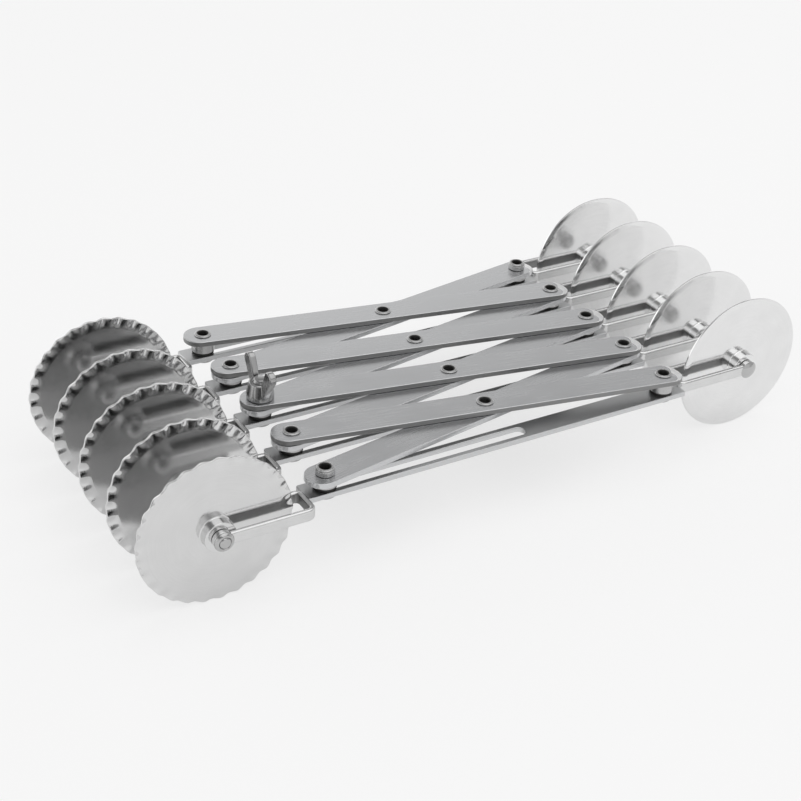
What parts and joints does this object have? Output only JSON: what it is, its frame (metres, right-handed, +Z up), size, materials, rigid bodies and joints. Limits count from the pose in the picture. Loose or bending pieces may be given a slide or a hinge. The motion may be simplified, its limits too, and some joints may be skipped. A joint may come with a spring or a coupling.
{
  "type": "expandable dough cutter",
  "caption": "Lazy-tong dough cutter of stainless steel: slotted row bars on a folding lattice, with fluted wheels at one end, plain wheels at the other and a wing-nut lock.",
  "frame": {"origin": "on the floor under the middle of the cutter, level with the lowest points of the wheels", "axes": "+X along the rows, towards the plain wheels; +Y across the rows; +Z up"},
  "size_m": [0.2814, 0.1254, 0.055],
  "materials": {
    "polished_wheel": "polished stainless",
    "satin_lattice": "satin brushed along the bar",
    "satin_row": "satin brushed along the bar",
    "bright_fork": "bright drawn strip",
    "turned_steel": "turned and polished",
    "lock_steel": "cast and tumbled"
  },
  "bodies": {
    "row_1": {"row_bar_1": "satin_row", "fluted_fork_1": "bright_fork", "plain_fork_1": "bright_fork", "axle_screws_1": "turned_steel", "axle_nuts_1": "turned_steel", "end_pivot_1": "turned_steel", "end_spacer": "turned_steel"},
    "row_2": {"row_bar_2": "satin_row", "fluted_fork_2": "bright_fork", "plain_fork_2": "bright_fork", "axle_screws_2": "turned_steel", "axle_nuts_2": "turned_steel", "end_pivot_2": "turned_steel"},
    "row_3": {"row_bar_3": "satin_row", "fluted_fork_3": "bright_fork", "plain_fork_3": "bright_fork", "axle_screws_3": "turned_steel", "axle_nuts_3": "turned_steel", "end_pivot_3": "turned_steel"},
    "row_4": {"row_bar_4": "satin_row", "fluted_fork_4": "bright_fork", "plain_fork_4": "bright_fork", "axle_screws_4": "turned_steel", "axle_nuts_4": "turned_steel", "end_pivot_4": "turned_steel"},
    "row_5": {"row_bar_5": "satin_row", "fluted_fork_5": "bright_fork", "plain_fork_5": "bright_fork", "axle_screws_5": "turned_steel", "axle_nuts_5": "turned_steel", "end_pivot_5": "turned_steel"},
    "upper_link_1": {"upper_bar_1": "satin_lattice", "slide_pivot_1": "turned_steel"},
    "lower_link_1": {"lower_bar_1": "satin_lattice", "middle_rivet_1": "turned_steel"},
    "upper_link_2": {"upper_bar_2": "satin_lattice", "slide_pivot_2": "turned_steel"},
    "lower_link_2": {"lower_bar_2": "satin_lattice", "middle_rivet_2": "turned_steel"},
    "upper_link_3": {"upper_bar_3": "satin_lattice", "lock_stud": "lock_steel"},
    "lower_link_3": {"lower_bar_3": "satin_lattice", "middle_rivet_3": "turned_steel"},
    "upper_link_4": {"upper_bar_4": "satin_lattice", "slide_pivot_4": "turned_steel"},
    "lower_link_4": {"lower_bar_4": "satin_lattice", "middle_rivet_4": "turned_steel", "slide_pivot_5": "turned_steel", "slide_spacer": "turned_steel"},
    "fluted_wheel_1": {"fluted_wheel_1": "polished_wheel"},
    "plain_wheel_1": {"plain_wheel_1": "polished_wheel"},
    "fluted_wheel_2": {"fluted_wheel_2": "polished_wheel"},
    "plain_wheel_2": {"plain_wheel_2": "polished_wheel"},
    "fluted_wheel_3": {"fluted_wheel_3": "polished_wheel"},
    "plain_wheel_3": {"plain_wheel_3": "polished_wheel"},
    "fluted_wheel_4": {"fluted_wheel_4": "polished_wheel"},
    "plain_wheel_4": {"plain_wheel_4": "polished_wheel"},
    "fluted_wheel_5": {"fluted_wheel_5": "polished_wheel"},
    "plain_wheel_5": {"plain_wheel_5": "polished_wheel"},
    "wing_nut": {"wing_nut": "lock_steel"}
  },
  "joints": [
    {"name": "opening", "type": "hinge", "parent": "row_3", "child": "lower_link_3", "pos_m": [0.07094, 0, 0.03], "axis": [0, 0, 1], "range_deg": [-3.37, 53.76]},
    {"name": "upper_link_2_turn", "type": "hinge", "parent": "row_3", "child": "upper_link_2", "pos_m": [0.07094, 0, 0.03], "axis": [0, 0, 1], "range_deg": [-53.76, 3.37]},
    {"name": "upper_link_3_turn", "type": "hinge", "parent": "lower_link_3", "child": "upper_link_3", "pos_m": [0, -0.0123, 0.03], "axis": [0, 0, 1], "range_deg": [-107.52, 6.74]},
    {"name": "row_4_turn", "type": "hinge", "parent": "upper_link_3", "child": "row_4", "pos_m": [0.07094, -0.0246, 0.03], "axis": [0, 0, 1], "range_deg": [-3.37, 53.76]},
    {"name": "lower_link_4_turn", "type": "hinge", "parent": "row_4", "child": "lower_link_4", "pos_m": [0.07094, -0.0246, 0.03], "axis": [0, 0, 1], "range_deg": [-3.37, 53.76]},
    {"name": "upper_link_4_turn", "type": "hinge", "parent": "lower_link_4", "child": "upper_link_4", "pos_m": [0, -0.0369, 0.03], "axis": [0, 0, 1], "range_deg": [-107.52, 6.74]},
    {"name": "row_5_turn", "type": "hinge", "parent": "upper_link_4", "child": "row_5", "pos_m": [0.07094, -0.0492, 0.03], "axis": [0, 0, 1], "range_deg": [-3.37, 53.76]},
    {"name": "lower_link_2_turn", "type": "hinge", "parent": "upper_link_2", "child": "lower_link_2", "pos_m": [0, 0.0123, 0.03], "axis": [0, 0, 1], "range_deg": [-6.74, 107.52]},
    {"name": "row_2_turn", "type": "hinge", "parent": "lower_link_2", "child": "row_2", "pos_m": [0.07094, 0.0246, 0.03], "axis": [0, 0, 1], "range_deg": [-53.76, 3.37]},
    {"name": "upper_link_1_turn", "type": "hinge", "parent": "row_2", "child": "upper_link_1", "pos_m": [0.07094, 0.0246, 0.03], "axis": [0, 0, 1], "range_deg": [-53.76, 3.37]},
    {"name": "lower_link_1_turn", "type": "hinge", "parent": "upper_link_1", "child": "lower_link_1", "pos_m": [0, 0.0369, 0.03], "axis": [0, 0, 1], "range_deg": [-6.74, 107.52]},
    {"name": "row_1_turn", "type": "hinge", "parent": "lower_link_1", "child": "row_1", "pos_m": [0.07094, 0.0492, 0.03], "axis": [0, 0, 1], "range_deg": [-53.76, 3.37]},
    {"name": "fluted_wheel_1_spin", "type": "hinge", "parent": "row_1", "child": "fluted_wheel_1", "pos_m": [-0.11324, 0.04375, 0.0275], "axis": [0, 1, 0], "continuous": true},
    {"name": "plain_wheel_1_spin", "type": "hinge", "parent": "row_1", "child": "plain_wheel_1", "pos_m": [0.11324, 0.05465, 0.0275], "axis": [0, 1, 0], "continuous": true},
    {"name": "fluted_wheel_2_spin", "type": "hinge", "parent": "row_2", "child": "fluted_wheel_2", "pos_m": [-0.11324, 0.01915, 0.0275], "axis": [0, 1, 0], "continuous": true},
    {"name": "plain_wheel_2_spin", "type": "hinge", "parent": "row_2", "child": "plain_wheel_2", "pos_m": [0.11324, 0.03005, 0.0275], "axis": [0, 1, 0], "continuous": true},
    {"name": "fluted_wheel_3_spin", "type": "hinge", "parent": "row_3", "child": "fluted_wheel_3", "pos_m": [-0.11324, -0.00545, 0.0275], "axis": [0, 1, 0], "continuous": true},
    {"name": "plain_wheel_3_spin", "type": "hinge", "parent": "row_3", "child": "plain_wheel_3", "pos_m": [0.11324, 0.00545, 0.0275], "axis": [0, 1, 0], "continuous": true},
    {"name": "fluted_wheel_4_spin", "type": "hinge", "parent": "row_4", "child": "fluted_wheel_4", "pos_m": [-0.11324, -0.03005, 0.0275], "axis": [0, 1, 0], "continuous": true},
    {"name": "plain_wheel_4_spin", "type": "hinge", "parent": "row_4", "child": "plain_wheel_4", "pos_m": [0.11324, -0.01915, 0.0275], "axis": [0, 1, 0], "continuous": true},
    {"name": "fluted_wheel_5_spin", "type": "hinge", "parent": "row_5", "child": "fluted_wheel_5", "pos_m": [-0.11324, -0.05465, 0.0275], "axis": [0, 1, 0], "continuous": true},
    {"name": "plain_wheel_5_spin", "type": "hinge", "parent": "row_5", "child": "plain_wheel_5", "pos_m": [0.11324, -0.04375, 0.0275], "axis": [0, 1, 0], "continuous": true},
    {"name": "wing_nut_turn", "type": "hinge", "parent": "upper_link_3", "child": "wing_nut", "pos_m": [-0.07094, 0, 0.03595], "axis": [0, 0, 1], "range_deg": [0, 360]}
  ],
  "couplings": [
    {"joint": "upper_link_2_turn", "follows": "opening", "ratio": -1},
    {"joint": "upper_link_3_turn", "follows": "opening", "ratio": -2},
    {"joint": "row_4_turn", "follows": "opening", "ratio": 1},
    {"joint": "lower_link_4_turn", "follows": "opening", "ratio": 1},
    {"joint": "upper_link_4_turn", "follows": "opening", "ratio": -2},
    {"joint": "row_5_turn", "follows": "opening", "ratio": 1},
    {"joint": "lower_link_2_turn", "follows": "opening", "ratio": 2},
    {"joint": "row_2_turn", "follows": "opening", "ratio": -1},
    {"joint": "upper_link_1_turn", "follows": "opening", "ratio": -1},
    {"joint": "lower_link_1_turn", "follows": "opening", "ratio": 2},
    {"joint": "row_1_turn", "follows": "opening", "ratio": -1}
  ]
}
